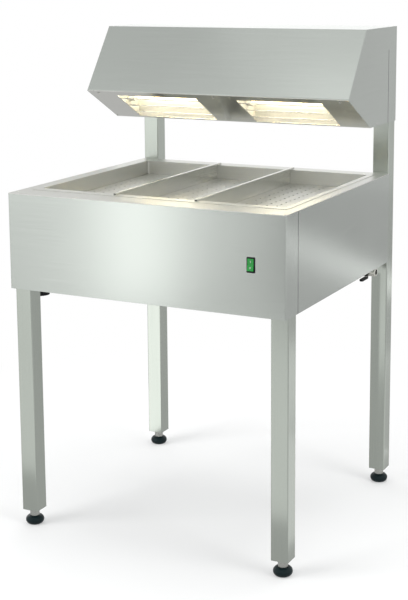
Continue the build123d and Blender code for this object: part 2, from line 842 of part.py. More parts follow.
handle_top = tap_height - tap_diameter / 2 - handle_drop
with BuildPart() as tap_ball:
    with BuildSketch(front_facing(handle_x, drain_depth, tap_height)):
        with BuildLine():
            CenterArc((0, 0), ball_diameter / 2, -90, 180)
            Line((0, ball_diameter / 2), (0, -ball_diameter / 2))
        make_face()
    revolve(axis=Axis((handle_x, y_at(drain_depth), tap_height), (0, 0, 1)))
    with BuildSketch(floor_plane(handle_x, drain_depth, tap_height)):
        Circle(handle_stem / 2)
    extrude(amount=handle_top - handle_thickness / 2 - tap_height)
    with BuildSketch(front_facing(handle_x, drain_depth, tap_height)):
        Circle(ball_bore / 2)
    extrude(amount=ball_diameter, both=True, mode=Mode.SUBTRACT)
save(tap_ball, "tap_ball")

with BuildPart() as tap_handle:
    with BuildSketch(floor_plane(handle_x, drain_depth, handle_top)):
        with Locations((0, -handle_length / 2)):
            SlotOverall(handle_length + handle_width, handle_width, rotation=90)
    extrude(amount=-handle_thickness)
    fillet(tap_handle.faces().sort_by(Axis.Z)[0].edges(), rocker_round)
    with BuildSketch(floor_plane(handle_x, drain_depth, handle_top)):
        Circle(handle_stem / 2)
    extrude(amount=-handle_thickness / 2, mode=Mode.SUBTRACT)
save(tap_handle, "tap_handle")

# ================================================================ hood
nose_step = sheet / ((front_run * -slope_z + front_rise * slope_y) / front_length)
cover_nose = (
    hood_nose_depth + nose_step * front_run / front_length,
    hood_nose_height + nose_step * front_rise / front_length,
)
cover_lip = (cover_nose[0] + hood_lip * slope_y, cover_nose[1] + hood_lip * slope_z)
underside_screws = [(x, bay_front / 2) for x in (-underside_screw_x, 0, underside_screw_x)]

with BuildPart() as hood_cover:
    with BuildSketch(side_facing(-inner_x)):
        with BuildLine():
            FilletPolyline(
                (post_back_depth, hood_top),
                (hood_crest_depth, hood_top),
                cover_nose,
                cover_lip,
                radius=bend_radius,
            )
            offset(amount=sheet, side=Side.LEFT)
        make_face()
    extrude(amount=2 * inner_x)
    with BuildSketch(slope_face):
        with Locations(*underside_screws):
            Circle(screw_diameter / 2 + fit_gap)
    extrude(amount=screw_length, mode=Mode.SUBTRACT)
save(hood_cover, "hood_cover")

slit_depth = post_front_depth - slit_from_post
side_screw_height = hood_bottom + side_screw_rise
for side, sign in sides:
    side_plate_x = inner_x if sign > 0 else -half_width
    with BuildPart() as hood_side:
        with BuildSketch(side_facing(side_plate_x)):
            with BuildLine():
                Polyline(
                    (hood_nose_depth, hood_nose_height),
                    (hood_crest_depth, hood_top),
                    (hood_back_depth, hood_top),
                    (hood_back_depth, hood_bottom),
                    (hood_knee_depth, hood_bottom),
                    close=True,
                )
            make_face()
            with Locations((slit_depth, (slit_top + hood_bottom) / 2)):
                Rectangle(slit_width, slit_top - hood_bottom, mode=Mode.SUBTRACT)
            with Locations((side_screw_depth, side_screw_height)):
                Circle(screw_diameter / 2 + fit_gap, mode=Mode.SUBTRACT)
        extrude(amount=sheet)
    save(hood_side, f"hood_side_{side}")

with BuildPart() as hood_back:
    with BuildSketch(front_facing(0, hood_back_depth, (hood_top - sheet + hood_bottom) / 2)):
        Rectangle(2 * inner_x, hood_top - sheet - hood_bottom)
    extrude(amount=sheet)
    for height in hood_bolt_heights:
        with BuildSketch(front_facing(0, hood_back_depth, height)):
            with Locations((-leg_x, 0), (leg_x, 0)):
                Circle(bolt_diameter / 2 + fit_gap)
        extrude(amount=sheet, mode=Mode.SUBTRACT)
save(hood_back, "hood_back")

with BuildPart() as hood_underside:
    with BuildSketch(side_facing(-inner_x)):
        with BuildLine():
            FilletPolyline(
                (hood_nose_depth, hood_nose_height),
                (hood_knee_depth, hood_bottom),
                (post_back_depth, hood_bottom),
                radius=bend_radius,
            )
            offset(amount=sheet, side=Side.LEFT)
        make_face()
    extrude(amount=2 * inner_x)
    with BuildSketch(slope_face):
        with Locations((-bay_x, bay_centre), (bay_x, bay_centre)):
            Rectangle(bay_width, bay_length)
        with Locations(*underside_screws):
            Circle(screw_diameter / 2 + fit_gap)
    extrude(amount=2 * sheet, mode=Mode.SUBTRACT)
    with BuildSketch(floor_plane(0, post_depth, hood_bottom)):
        with Locations((-leg_x, 0), (leg_x, 0)):
            Rectangle(leg_size + 2 * contact_gap, leg_size + 2 * contact_gap)
    extrude(amount=sheet, mode=Mode.SUBTRACT)
    with BuildSketch(floor_plane(0, side_screw_depth, hood_bottom + sheet)):
        with Locations((-(inner_x - sheet / 2), 0), (inner_x - sheet / 2, 0)):
            Rectangle(sheet, side_tab_length)
    extrude(amount=side_tab_height)
    with BuildSketch(side_facing(0)):
        with Locations((side_screw_depth, side_screw_height)):
            Circle(screw_diameter / 2 + fit_gap)
    extrude(amount=inner_x, both=True, mode=Mode.SUBTRACT)
save(hood_underside, "hood_underside")

# ================================================================ lamp bays
bay_start = bay_front - reflector_lap
bay_stop = bay_front + bay_length + reflector_lap
reflector_slant = (bay_stop - bay_start - reflector_crown) / 2
reflector_top = sheet + reflector_depth
reflector_width = bay_width + 2 * reflector_clearance
tube_length = reflector_width - 2 * (socket_length - socket_hole_depth)
for side, sign in sides:
    with BuildPart() as reflector:
        with BuildSketch(slope_section.offset(sign * bay_x - reflector_width / 2)):
            with BuildLine():
                FilletPolyline(
                    (bay_start - reflector_flange, sheet),
                    (bay_start, sheet),
                    (bay_start + reflector_slant, reflector_top),
                    (bay_stop - reflector_slant, reflector_top),
                    (bay_stop, sheet),
                    (bay_stop + reflector_flange, sheet),
                    radius=reflector_bend,
                )
                offset(amount=reflector_sheet, side=Side.LEFT)
            make_face()
        extrude(amount=reflector_width)
        for end in (-reflector_width / 2 - reflector_sheet, reflector_width / 2):
            with BuildSketch(slope_section.offset(sign * bay_x + end)):
                with BuildLine():
                    Polyline(
                        (bay_start, sheet),
                        (bay_start + reflector_slant, reflector_top + reflector_sheet),
                        (bay_stop - reflector_slant, reflector_top + reflector_sheet),
                        (bay_stop, sheet),
                        close=True,
                    )
                make_face()
            extrude(amount=reflector_sheet)
    save(reflector, f"reflector_{side}")

    lamp_centre = slope_section.offset(sign * bay_x)
    with BuildPart() as lamp_tube:
        with BuildSketch(lamp_centre):
            with Locations((bay_centre, lamp_height)):
                Circle(lamp_diameter / 2)
                Circle(lamp_bore / 2, mode=Mode.SUBTRACT)
        extrude(amount=tube_length / 2, both=True)
    save(lamp_tube, f"lamp_tube_{side}")

with BuildPart() as lamp_filaments:
    for side, sign in sides:
        with BuildSketch(slope_section.offset(sign * bay_x)):
            with Locations((bay_centre, lamp_height)):
                Circle(filament_diameter / 2)
        extrude(amount=tube_length / 2, both=True)
save(lamp_filaments, "lamp_filaments")

with BuildPart() as lamp_sockets:
    for side, sign in sides:
        for end in (-1, 1):
            wall = slope_section.offset(sign * bay_x + end * reflector_width / 2)
            with BuildSketch(wall):
                with Locations((bay_centre, lamp_height)):
                    Rectangle(socket_width, socket_height)
            extrude(amount=-end * socket_length)
            with BuildSketch(wall.offset(-end * socket_length)):
                with Locations((bay_centre, lamp_height)):
                    Circle(lamp_diameter / 2 + fit_gap)
            extrude(amount=end * socket_hole_depth, mode=Mode.SUBTRACT)
save(lamp_sockets, "lamp_sockets")

with BuildPart() as guard_rods:
    for side, sign in sides:
        with BuildSketch(slope_section.offset(sign * bay_x)):
            with Locations((bay_centre, sheet + rod_diameter / 2)):
                with GridLocations(rod_pitch, 0, rod_count, 1):
                    Circle(rod_diameter / 2)
        extrude(amount=bay_width / 2 + rod_seat, both=True)
save(guard_rods, "guard_rods")

save(terminal_block(floor_plane(0, lamp_block_depth, hood_bottom + sheet)), "lamp_terminals")

# ================================================================ fasteners
with BuildPart() as underside_screw_set:
    with BuildSketch(slope_face):
        with Locations(*underside_screws):
            Circle(screw_head / 2)
    extrude(amount=-screw_head_height)
    slope_up = Axis(slope_face.origin, slope_face.z_dir)
    fillet(underside_screw_set.faces().group_by(slope_up)[0].edges(), screw_head_height / 2)
    with BuildSketch(slope_face):
        with Locations(*underside_screws):
            Circle(screw_diameter / 2)
    extrude(amount=screw_length)
save(underside_screw_set, "underside_screws")

with BuildPart() as side_screw_set:
    for side, sign in sides:
        with BuildSketch(side_facing(sign * half_width)):
            with Locations((side_screw_depth, side_screw_height)):
                Circle(screw_head / 2)
        extrude(amount=sign * screw_head_height)
        fillet(side_screw_set.faces().sort_by(Axis.X)[0 if sign < 0 else -1].edges(), screw_head_height / 2)
        with BuildSketch(side_facing(sign * half_width)):
            with Locations((side_screw_depth, side_screw_height)):
                Circle(screw_diameter / 2)
        extrude(amount=-sign * screw_length)
save(side_screw_set, "side_screws")


def bolt_set(depth, heights, outward):
    """Dome-headed bolts through both posts at these heights; outward is +1 at the back."""
    with BuildPart() as bolts:
        for height in heights:
            plane = front_facing(0, depth, height)
            with BuildSketch(plane):
                with Locations((-leg_x, 0), (leg_x, 0)):
                    Circle(bolt_head / 2)
            extrude(amount=-outward * bolt_head_height)
            with BuildSketch(plane):
                with Locations((-leg_x, 0), (leg_x, 0)):
                    Circle(bolt_diameter / 2)
            extrude(amount=outward * bolt_length)
        fillet(bolts.edges().group_by(Axis.Y)[-1 if outward > 0 else 0], bolt_head_height / 2)
    return bolts


save(bolt_set(hood_back_depth, hood_bolt_heights, 1), "hood_bolts")
save(bolt_set(cabinet_depth - sheet, rear_bolt_heights, -1), "cabinet_bolts")

with BuildPart() as base_screw_set:
    for depth in base_screw_depths:
        with BuildSketch(floor_plane(0, depth, cabinet_bottom)):
            with Locations((-base_screw_x, 0), (base_screw_x, 0)):
                Circle(screw_head / 2)
        extrude(amount=-screw_head_height)
        with BuildSketch(floor_plane(0, depth, cabinet_bottom)):
            with Locations((-base_screw_x, 0), (base_screw_x, 0)):
                Circle(screw_diameter / 2)
        extrude(amount=screw_length)
    fillet(base_screw_set.edges().group_by(Axis.Z)[0], screw_head_height / 2)
save(base_screw_set, "base_screws")
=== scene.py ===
"""A free-standing chip warmer, dressed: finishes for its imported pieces, the pieces that
need a finer shape, and the plain stage around it."""
import json
import math

import bmesh
import bpy
import numpy as np
from mathutils import Matrix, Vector
from bpy.props import FloatProperty, FloatVectorProperty, IntProperty, PointerProperty


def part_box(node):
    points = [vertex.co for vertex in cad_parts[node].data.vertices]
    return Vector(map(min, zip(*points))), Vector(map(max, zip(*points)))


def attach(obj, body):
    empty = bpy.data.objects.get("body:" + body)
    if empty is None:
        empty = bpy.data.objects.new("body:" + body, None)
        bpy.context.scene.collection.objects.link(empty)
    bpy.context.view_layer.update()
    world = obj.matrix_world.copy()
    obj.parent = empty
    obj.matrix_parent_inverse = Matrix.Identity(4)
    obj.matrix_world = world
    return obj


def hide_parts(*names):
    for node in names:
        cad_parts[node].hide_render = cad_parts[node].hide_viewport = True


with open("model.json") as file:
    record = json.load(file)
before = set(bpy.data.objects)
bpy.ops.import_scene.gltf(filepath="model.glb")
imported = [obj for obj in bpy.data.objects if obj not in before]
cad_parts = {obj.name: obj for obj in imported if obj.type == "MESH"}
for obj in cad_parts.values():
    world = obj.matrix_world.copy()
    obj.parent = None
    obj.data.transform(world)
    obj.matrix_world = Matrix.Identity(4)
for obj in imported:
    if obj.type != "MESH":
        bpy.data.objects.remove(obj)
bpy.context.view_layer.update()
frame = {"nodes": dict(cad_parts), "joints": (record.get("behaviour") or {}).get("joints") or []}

bl_info = {
    "name": "Chip Warmer",
    "version": (1, 0, 0),
    "blender": (4, 5, 0),
    "location": "3D View > Sidebar > Chip Warmer",
    "description": "Dresses the packed chip warmer with finishes, fine pieces and a stage",
    "category": "Object",
}

# Feet, in metres: the pad's sole and top are radii, its grooves are heights.
PAD_SOLE = 0.0165
PAD_TOP = 0.014
PAD_BULGE_HEIGHT = 0.012
PAD_GROOVES = (0.0045, 0.0185)
PAD_GROOVE_DEPTH = 0.0006
PAD_GROOVE_WIDTH = 0.0007
PAD_ROWS = 64
PAD_COLUMNS = 72
STEM_RADIUS = 0.006
STEM_COLUMNS = 36
STEM_END = 0.001
COLLAR_TOP = 0.041
COLLAR_EDGE = 0.0008
THREAD_ROWS = 8

# Lamp wires, in metres and steps.
WIRE_RADIUS = 0.0003
WIRE_STEPS = 14
WIRE_SIDES = 6

# Screws: reach is from the shank's tip to the head's top, in metres.
SCREW_REACH = {"underside_screws": 0.0096, "side_screws": 0.0096, "base_screws": 0.0096,
               "hood_bolts": 0.015}
SCREW_COLUMNS = 72
HEAD_ROWS = 34
DOME_POWER = 2.6
SHANK_SHARE = 0.6
SHANK_TIP_SHARE = 0.55
SHANK_CHAMFER = 0.0006
RECESS_SHARE = 0.52
RECESS_DEPTH_SHARE = 0.62
CROSS_ARM = 0.24
HEX_FLAT = 0.87
RECESS_SLOPE = 0.12

# Switch: the rocker's face and half height, in metres, and its marks' shares of their size.
ROCKER_FACE = 0.008
ROCKER_HALF = 0.0145
MARK_RISE = 0.00025
MARK_STEPS = 48
MARK_SIDES = 10
BAND_SHARE = 0.11
BAR_WIDTH_SHARE = 0.04
BAR_LENGTH_SHARE = 0.42
BAR_SQUARENESS = 4
RING_SHARE = 0.40

# Painted shade along the gaps in the sheet, at the front corners' seams and the hood sides'
# slit: place along Y, half width and top, in metres.
SEAM_HALF = 0.0016
SEAM_CORE = 0.6
SEAM_PAINTED_SHADE = 0.22
SLIT_PLACE = 0.31122
SLIT_HALF = 0.0016
SLIT_TOP = 1.220
# Each lamp of a bay: its way, its turn, its share of the power and its width.
BAY_LAMPS = (("up", math.pi, 0.28, 0.05), ("down", 0.0, 0.03, 0.14))
BAY_LENGTH_SHARE = 0.9
LAMP_COLOUR = (1.0, 0.93, 0.78)
SLOPE_ANGLE = math.radians(28.13)
DOWN_SLOPE = (0, -0.4715, -0.8819)
# Each soft lamp: name, place, aim, size and power.
SOFT_LAMPS = (
    ("key_lamp", (-2.6, -3.0, 3.2), (0, 0, 0.9), (2.4, 2.4), 120),
    ("right_lamp", (3.4, -0.6, 2.4), (0, 0, 0.8), (1.8, 2.2), 55),
    ("top_lamp", (0.0, 0.4, 3.6), (0, 0.1, 1.0), (2.6, 2.2), 70),
)
# Floor: half its side, and where its white share starts to rise and is full, in metres.
FLOOR_HALF = 12.0
FADE_START = 0.55
FADE_END = 1.5
NEAR_SHARE = 0.35

IMAGE_HEIGHT = 600
SENSOR_WIDTH = 36.0

# ------------------------------------------------------------------ frame sizes
side_low, side_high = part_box("side_panel_right")
joint_places = {j["name"]: j.get("pos_m") for j in frame["joints"]}
FOOT_PLACES = ("front_left", "front_right", "rear_left", "rear_right")


# ------------------------------------------------------------------ settings
class SteelSettings(bpy.types.PropertyGroup):
    """Colours and grain of the brushed stainless sheet."""

    panel_colour: FloatVectorProperty(
        name="Panel", description="Colour of the cabinet and hood sheet",
        subtype="COLOR", size=3, min=0, max=1, default=(0.485, 0.515, 0.485))
    leg_colour: FloatVectorProperty(
        name="Legs", description="Colour of the square tube",
        subtype="COLOR", size=3, min=0, max=1, default=(0.465, 0.500, 0.455))
    basin_colour: FloatVectorProperty(
        name="Basin", description="Colour of the basin and its plate",
        subtype="COLOR", size=3, min=0, max=1, default=(0.66, 0.665, 0.63))
    grain_length: FloatProperty(
        name="Grain length", description="Length of one brush stroke",
        subtype="DISTANCE", unit="LENGTH", default=0.16, min=0.01)
    grain_width: FloatProperty(
        name="Grain width", description="Width of one brush stroke",
        subtype="DISTANCE", unit="LENGTH", default=0.0011, min=0.0002)


class LampSettings(bpy.types.PropertyGroup):
    """The heated wires under the hood."""

    wire_colour: FloatVectorProperty(
        name="Glow", description="Colour of the lit wire",
        subtype="COLOR", size=3, min=0, max=1, default=(1.0, 0.78, 0.42))
    wire_strength: FloatProperty(
        name="Strength", description="Brightness of the lit wire", default=30.0, min=0)
    coil_turns: IntProperty(
        name="Turns", description="Turns of each wound wire", default=60, min=4)


class FittingSettings(bpy.types.PropertyGroup):
    """Sizes of the feet, the screw heads and the switch's marks."""

    thread_pitch: FloatProperty(
        name="Thread pitch", description="Rise of the stem's thread in one turn",
        subtype="DISTANCE", unit="LENGTH", default=0.00175, min=0.0005)
    thread_depth: FloatProperty(
        name="Thread depth", description="From the thread's crest to its root",
        subtype="DISTANCE", unit="LENGTH", default=0.00095, min=0.0001)
    rocker_tilt: FloatProperty(
        name="Rocker tilt", description="Lean of the switch's rocker at rest",
        subtype="ANGLE", unit="ROTATION", default=math.radians(8.0))
    mark_size: FloatProperty(
        name="Mark size", description="Height of the marks on the rocker",
        subtype="DISTANCE", unit="LENGTH", default=0.0044, min=0.001)


class StageSettings(bpy.types.PropertyGroup):
    """Floor, backdrop, lamps and camera."""

    floor_colour: FloatVectorProperty(
        name="Floor", description="Colour of the floor",
        subtype="COLOR", size=3, min=0, max=1, default=(0.86, 0.86, 0.855))
    camera_place: FloatVectorProperty(
        name="Camera place", description="Where the lens is",
        subtype="TRANSLATION", unit="LENGTH", size=3, default=(1.5787, -3.1220, 1.4344))
    camera_turn: FloatProperty(
        name="Camera turn", description="Turn to the left from facing along Y",
        subtype="ANGLE", unit="ROTATION", default=0.4723)
    camera_tilt: FloatProperty(
        name="Camera tilt", description="How far the view looks down",
        subtype="ANGLE", unit="ROTATION", default=0.1693)
    camera_roll: FloatProperty(
        name="Camera roll", description="Turn of the frame about the view",
        subtype="ANGLE", unit="ROTATION", default=-0.0076)
    focal_pixels: FloatProperty(
        name="Focal length", description="Focal length in pixels of the frame",
        default=1350.6, min=100)
    bay_power: FloatProperty(
        name="Bay power", description="Power of each lamp in the hood",
        subtype="POWER", default=2.2, min=0)
    principal_row: FloatProperty(
        name="Principal row", description="Row of the frame that the lens points at",
        default=200.0)


# ------------------------------------------------------------------ material helpers
def new_material(name):
    """An empty node material with its output and a Principled shader."""
    material = bpy.data.materials.new(name)
    material.use_nodes = True
    tree = material.node_tree
    tree.nodes.clear()
    output = tree.nodes.new("ShaderNodeOutputMaterial")
    shader = tree.nodes.new("ShaderNodeBsdfPrincipled")
    tree.links.new(shader.outputs["BSDF"], output.inputs["Surface"])
    return material, tree, shader


def stretched_noise(tree, scale, detail=3.0):
    """Noise on Object coordinates, stretched by a scale for each axis."""
    place = tree.nodes.new("ShaderNodeTexCoord")
    mapping = tree.nodes.new("ShaderNodeMapping")
    mapping.inputs["Scale"].default_value = scale
    noise = tree.nodes.new("ShaderNodeTexNoise")
    noise.inputs["Scale"].default_value = 1.0
    noise.inputs["Detail"].default_value = detail
    tree.links.new(place.outputs["Object"], mapping.inputs["Vector"])
    tree.links.new(mapping.outputs["Vector"], noise.inputs["Vector"])
    return noise.outputs["Fac"]


def spread(tree, value, low, high):
    """Maps a 0 to 1 value onto low to high."""
    ranger = tree.nodes.new("ShaderNodeMapRange")
    ranger.inputs["To Min"].default_value = low
    ranger.inputs["To Max"].default_value = high
    tree.links.new(value, ranger.inputs["Value"])
    return ranger.outputs["Result"]


def tint(tree, value, dark, light):
    """A colour that runs from dark to light with a 0 to 1 value."""
    mix = tree.nodes.new("ShaderNodeMix")
    mix.data_type = "RGBA"
    mix.inputs[6].default_value = (*dark, 1)
    mix.inputs[7].default_value = (*light, 1)
    tree.links.new(value, mix.inputs["Factor"])
    return mix.outputs[2]


def bump(tree, shader, height, strength, distance, edge=0.0):
    """Feeds a height into the shader's normal, over edges rounded by a radius if given."""
    node = tree.nodes.new("ShaderNodeBump")
    if edge > 0:
        rounded = tree.nodes.new("ShaderNodeBevel")
        rounded.samples = 4
        rounded.inputs["Radius"].default_value = edge
        tree.links.new(rounded.outputs["Normal"], node.inputs["Normal"])
    node.inputs["Strength"].default_value = strength
    node.inputs["Distance"].default_value = distance
    tree.links.new(height, node.inputs["Height"])
    tree.links.new(node.outputs["Normal"], shader.inputs["Normal"])


def painted_seam_shade(tree, colour, shaded_seams):
    """Paints shade into a colour along upright lines where the sheet has gaps: each a place on
    Y, half its width and its top.
    """
    place = tree.nodes.new("ShaderNodeTexCoord")
    split = tree.nodes.new("ShaderNodeSeparateXYZ")
    tree.links.new(place.outputs["Object"], split.inputs[0])
    for middle, half, top in shaded_seams:
        level = split.outputs["Y"]
        for operation, value in (("SUBTRACT", middle), ("ABSOLUTE", 0.0)):
            step = tree.nodes.new("ShaderNodeMath")
            step.operation = operation
            tree.links.new(level, step.inputs[0])
            step.inputs[1].default_value = value
            level = step.outputs[0]
        fade = tree.nodes.new("ShaderNodeMapRange")
        fade.inputs["From Min"].default_value = half * SEAM_CORE
        fade.inputs["From Max"].default_value = half
        fade.inputs["To Min"].default_value = SEAM_PAINTED_SHADE
        tree.links.new(level, fade.inputs["Value"])
        above = tree.nodes.new("ShaderNodeMath")
        above.operation = "GREATER_THAN"
        tree.links.new(split.outputs["Z"], above.inputs[0])
        above.inputs[1].default_value = top
        kept = tree.nodes.new("ShaderNodeMath")
        kept.operation = "MAXIMUM"
        tree.links.new(fade.outputs["Result"], kept.inputs[0])
        tree.links.new(above.outputs[0], kept.inputs[1])
        scale = tree.nodes.new("ShaderNodeVectorMath")
        scale.operation = "SCALE"
        tree.links.new(colour, scale.inputs[0])
        tree.links.new(kept.outputs[0], scale.inputs["Scale"])
        colour = scale.outputs["Vector"]
    return colour


def brushed(name, colour, along, settings, rough=(0.17, 0.24), anisotropy=0.25, shaded_seams=()):
    """Brushed stainless: strokes stretched along one axis vary colour, roughness and height;
    painted shade darkens the colour along any seams given.
    """
    material, tree, shader = new_material(name)
    fine = [1 / settings.grain_width] * 3
    fine["XYZ".index(along)] = 1 / settings.grain_length
    strokes = stretched_noise(tree, fine)
    clouds = stretched_noise(tree, (5.0, 5.0, 5.0), 2.0)
    shade = tree.nodes.new("ShaderNodeMath")
    shade.operation = "MULTIPLY_ADD"
    shade.inputs[1].default_value = 0.7
    tree.links.new(strokes, shade.inputs[0])
    tree.links.new(spread(tree, clouds, 0.0, 0.3), shade.inputs[2])
    dark = [c * 0.90 for c in colour]
    light = [min(1.0, c * 1.08) for c in colour]
    # Painted shade in the gaps at the seams darkens the base colour.
    toned = painted_seam_shade(tree, tint(tree, shade.outputs[0], dark, light), shaded_seams)
    tree.links.new(toned, shader.inputs["Base Color"])
    tree.links.new(spread(tree, shade.outputs[0], *rough), shader.inputs["Roughness"])
    shader.inputs["Metallic"].default_value = 1.0
    shader.inputs["Anisotropic"].default_value = anisotropy
    grain_way = tree.nodes.new("ShaderNodeTangent")
    grain_way.direction_type = "RADIAL"
    grain_way.axis = "Z"
    tree.links.new(grain_way.outputs["Tangent"], shader.inputs["Tangent"])
    bump(tree, shader, strokes, 0.05, 0.00004, 0.0007)
    return material


def plain_metal(name, colour, rough=(0.2, 0.34)):
    """Turned or plated metal with a soft mottle."""
    material, tree, shader = new_material(name)
    mottle = stretched_noise(tree, (180.0, 180.0, 180.0))
    dark = [c * 0.88 for c in colour]
    tree.links.new(tint(tree, mottle, dark, colour), shader.inputs["Base Color"])
    tree.links.new(spread(tree, mottle, *rough), shader.inputs["Roughness"])
    shader.inputs["Metallic"].default_value = 1.0
    bump(tree, shader, mottle, 0.08, 0.00005)
    return material


def moulded(name, colour, rough=(0.42, 0.6), grain=1400.0, depth=0.00006, gloss=0.5):
    """Moulded plastic, rubber or ceramic with a fine even texture."""
    material, tree, shader = new_material(name)
    texture = stretched_noise(tree, (grain, grain, grain), 2.0)
    dark = [c * 0.8 for c in colour]
    tree.links.new(tint(tree, texture, dark, colour), shader.inputs["Base Color"])
    tree.links.new(spread(tree, texture, *rough), shader.inputs["Roughness"])
    shader.inputs["Specular IOR Level"].default_value = gloss
    bump(tree, shader, texture, 0.2, depth)
    return material


def glowing(name, colour, strength):
    """A lit surface with a slight variation of heat along it."""
    material, tree, shader = new_material(name)
    heat = stretched_noise(tree, (60.0, 60.0, 60.0))
    dark = [c * 0.85 for c in colour]
    tree.links.new(tint(tree, heat, dark, colour), shader.inputs["Emission Color"])
    shader.inputs["Emission Strength"].default_value = strength
    shader.inputs["Base Color"].default_value = (*colour, 1)
    shader.inputs["Roughness"].default_value = 0.5
    return material


def clear_glass(name):
    """Clear quartz: thin, almost colourless, very smooth."""
    material, tree, shader = new_material(name)
    ripple = stretched_noise(tree, (30.0, 90.0, 90.0))
    tree.links.new(spread(tree, ripple, 0.02, 0.06), shader.inputs["Roughness"])
    shader.inputs["Base Color"].default_value = (0.98, 0.98, 0.96, 1)
    shader.inputs["Transmission Weight"].default_value = 1.0
    shader.inputs["IOR"].default_value = 1.1
    return material


def paint(material, *nodes):
    """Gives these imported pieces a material, whatever slots they came with."""
    for node in nodes:
        slots = frame["nodes"][node].data.materials
        slots.clear()
        slots.append(material)


# ------------------------------------------------------------------ shape helpers
def finished(name, vertices, faces, sharp=35.0):
    """A mesh object from arrays: doubles merged, faces outwards, smooth but at sharp edges."""
    data = bpy.data.meshes.new(name)
    data.from_pydata(vertices.tolist(), [], faces.tolist())
    work = bmesh.new()
    work.from_mesh(data)
    bmesh.ops.remove_doubles(work, verts=work.verts, dist=1e-6)
    bmesh.ops.recalc_face_normals(work, faces=work.faces)
    work.to_mesh(data)
    work.free()
    data.shade_smooth()
    data.set_sharp_from_angle(angle=math.radians(sharp))
    thing = bpy.data.objects.new(name, data)
    bpy.context.scene.collection.objects.link(thing)
    return thing


def grid_faces(rows, columns, offset=0, wrap_rows=False):
    """Quads between neighbouring points of a grid whose columns close on themselves."""
    last = rows if wrap_rows else rows - 1
    row, column = np.meshgrid(np.arange(last), np.arange(columns), indexing="ij")
    after_row = (row + 1) % rows
    after = (column + 1) % columns
    quads = np.stack([row * columns + column, row * columns + after,
                      after_row * columns + after, after_row * columns + column], axis=-1)
    return quads.reshape(-1, 4) + offset


def square_axes(outward):
    """Two directions square to a unit outward direction and to each other."""
    outward = np.array(outward, float)
    helper = np.array([1.0, 0, 0]) if abs(outward[0]) < 0.9 else np.array([0, 1.0, 0])
    first = np.cross(helper, outward)
    first /= np.linalg.norm(first)
    return first, np.cross(outward, first)


def level_rows(values, columns):
    """A grid whose every column holds the same values."""
    return np.repeat(np.array(values, float)[:, None], columns, 1)


def turned(radius, height, centre, outward):
    """Points at a radius and height about an axis; both are grids of row by angle.

    Point = centre + outward * height + (first * cos a + second * sin a) * radius.
    """
    angle = np.linspace(0, 2 * np.pi, radius.shape[1], endpoint=False)[None, :, None]
    first, second = square_axes(outward)
    spoke = first * np.cos(angle) + second * np.sin(angle)
    points = np.array(centre) + np.array(outward) * height[..., None] + spoke * radius[..., None]
    return points.reshape(-1, 3)


def seat(piece, body, slot_name, *nodes):
    """Rides a piece on its body and hides the nodes it stands for."""
    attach(piece, body)
    if nodes:
        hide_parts(*nodes)


def solids_of(node):
    """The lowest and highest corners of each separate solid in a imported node.

    Points at one place count as one. Each starts with its own number, and each pass gives
    both ends of every edge the lower of their numbers, until none changes: points that then
    share a number belong to one solid.
    """
    data = frame["nodes"][node].data
    places = np.empty(len(data.vertices) * 3)
    data.vertices.foreach_get("co", places)
    ends = np.empty(len(data.edges) * 2, int)
    data.edges.foreach_get("vertices", ends)
    places = places.reshape(-1, 3)
    merged = np.unique(np.round(places, 6), axis=0, return_inverse=True)[1].ravel()
    one, other = merged[ends.reshape(-1, 2)].T
    number = np.arange(merged.max() + 1)
    while (number[one] != number[other]).any():
        lower = np.minimum(number[one], number[other])
        np.minimum.at(number, one, lower)
        np.minimum.at(number, other, lower)
    owner = number[merged]
    groups = [places[owner == solid] for solid in np.unique(owner)]
    corners = [(group.min(0), group.max(0)) for group in groups]
    return sorted(corners, key=lambda pair: tuple(np.round(pair[0], 5)))


# ------------------------------------------------------------------ fine pieces
def foot_pad(place):
    """A moulded pad: one arc from sole to top, less two grooves that circle it.

    Radius at height z is that of the circle through the sole's edge, the bulge and the
    top's edge, minus a bell-shaped dip at each groove.
    """
    low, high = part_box(f"foot_pad_{place}")
    centre = ((low.x + high.x) / 2, (low.y + high.y) / 2, 0.0)
    tall = high.z
    bulge = (high.x - low.x) / 2
    marks = np.array([(PAD_SOLE, 0.0), (bulge, PAD_BULGE_HEIGHT), (PAD_TOP, tall)])
    system = 2 * (marks[1:] - marks[0])
    middle = np.linalg.solve(system, (marks[1:] ** 2).sum(1) - (marks[0] ** 2).sum())
    arc = np.linalg.norm(marks[0] - middle)
    z = np.linspace(0, tall, PAD_ROWS)
    r = middle[0] + np.sqrt(np.maximum(arc ** 2 - (z - middle[1]) ** 2, 0))
    for groove in PAD_GROOVES:
        r -= PAD_GROOVE_DEPTH * np.exp(-((z - groove) / PAD_GROOVE_WIDTH) ** 2)
    r = np.concatenate([[0.0], r, [PAD_TOP * 0.5, 0.0]])
    z = np.concatenate([[0.0], z, [tall, tall]])
    points = turned(level_rows(r, PAD_COLUMNS), level_rows(z, PAD_COLUMNS), centre, (0, 0, 1))
    return finished(f"moulded_pad_{place}", points, grid_faces(len(r), PAD_COLUMNS))


